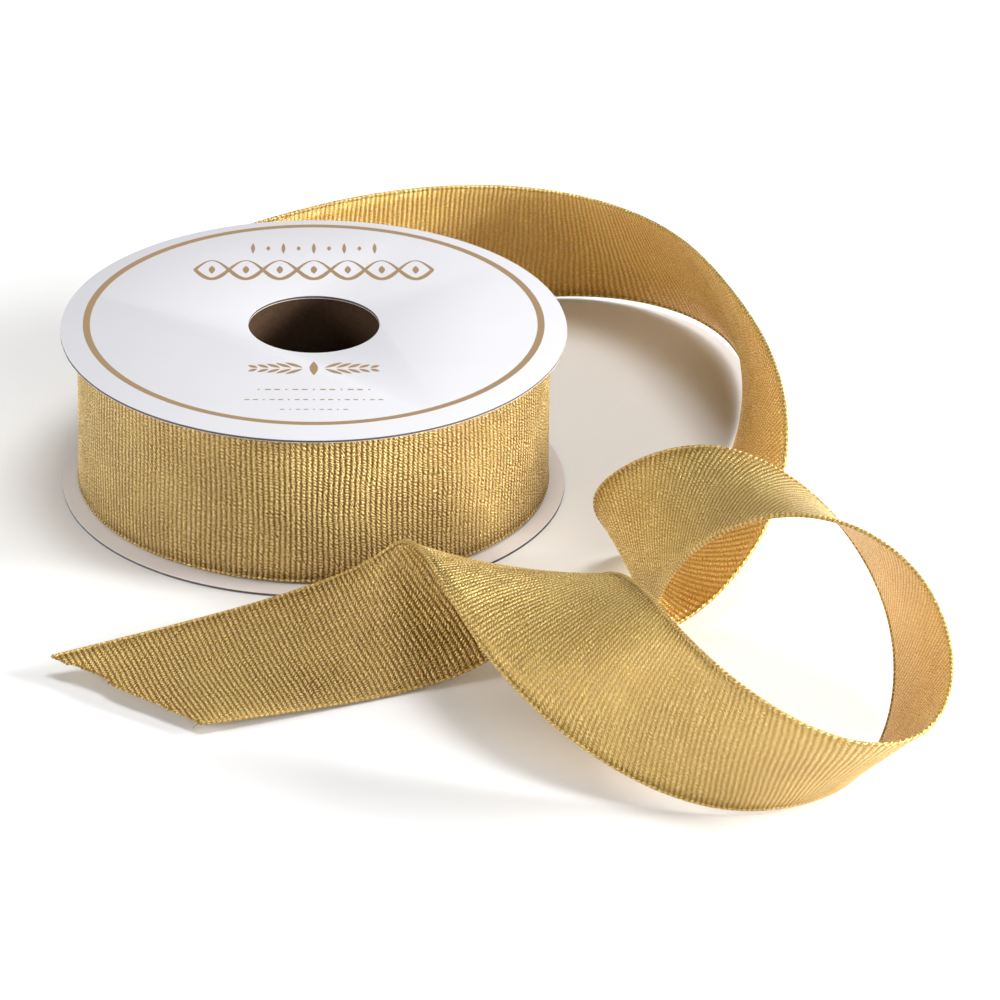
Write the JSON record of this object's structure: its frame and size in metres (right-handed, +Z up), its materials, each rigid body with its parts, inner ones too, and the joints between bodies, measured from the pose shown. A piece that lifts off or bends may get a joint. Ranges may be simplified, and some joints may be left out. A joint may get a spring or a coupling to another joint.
{
  "type": "ribbon spool",
  "caption": "Flanged card spool with a tube core, wound with wire-edged gold ribbon whose free end lies unwound in loose loops.",
  "frame": {"origin": "centre of the bore on the resting face of the lower flange", "axes": "+Z up the bore, away from the surface that the spool lies on; +X to the side where the free end lies; +Y to the back"},
  "size_m": [0.1965, 0.2779, 0.0499],
  "materials": {
    "label_paper": "satin",
    "grey_board": "matt",
    "liner_paper": "matt",
    "core_board": "matt",
    "dried_glue": "satin",
    "clear_tape": "gloss",
    "ribbon_weave": "metallic weave",
    "hem_thread": "metallic weave",
    "edge_wire": "drawn"
  },
  "bodies": {
    "spool": {"lower_label_paper": "label_paper", "lower_flange_board": "grey_board", "lower_liner_paper": "liner_paper", "upper_label_paper": "label_paper", "upper_flange_board": "grey_board", "upper_liner_paper": "liner_paper", "core_inner_ply": "core_board", "core_middle_ply": "core_board", "core_outer_ply": "core_board", "lower_glue_ring": "dried_glue", "upper_glue_ring": "dried_glue", "start_tape": "clear_tape", "wound_ribbon": "ribbon_weave"},
    "free_ribbon": {"lap_band": "ribbon_weave", "lap_upper_hem": "hem_thread", "lap_lower_hem": "hem_thread", "lap_upper_wire": "edge_wire", "lap_lower_wire": "edge_wire", "tail_band": "ribbon_weave", "tail_upper_hem": "hem_thread", "tail_lower_hem": "hem_thread", "tail_upper_wire": "edge_wire", "tail_lower_wire": "edge_wire"}
  },
  "joints": [
    {"name": "unwind", "type": "hinge", "parent": "spool", "child": "free_ribbon", "pos_m": [0, 0, 0.02005], "axis": [0, 0, 1], "continuous": true}
  ]
}
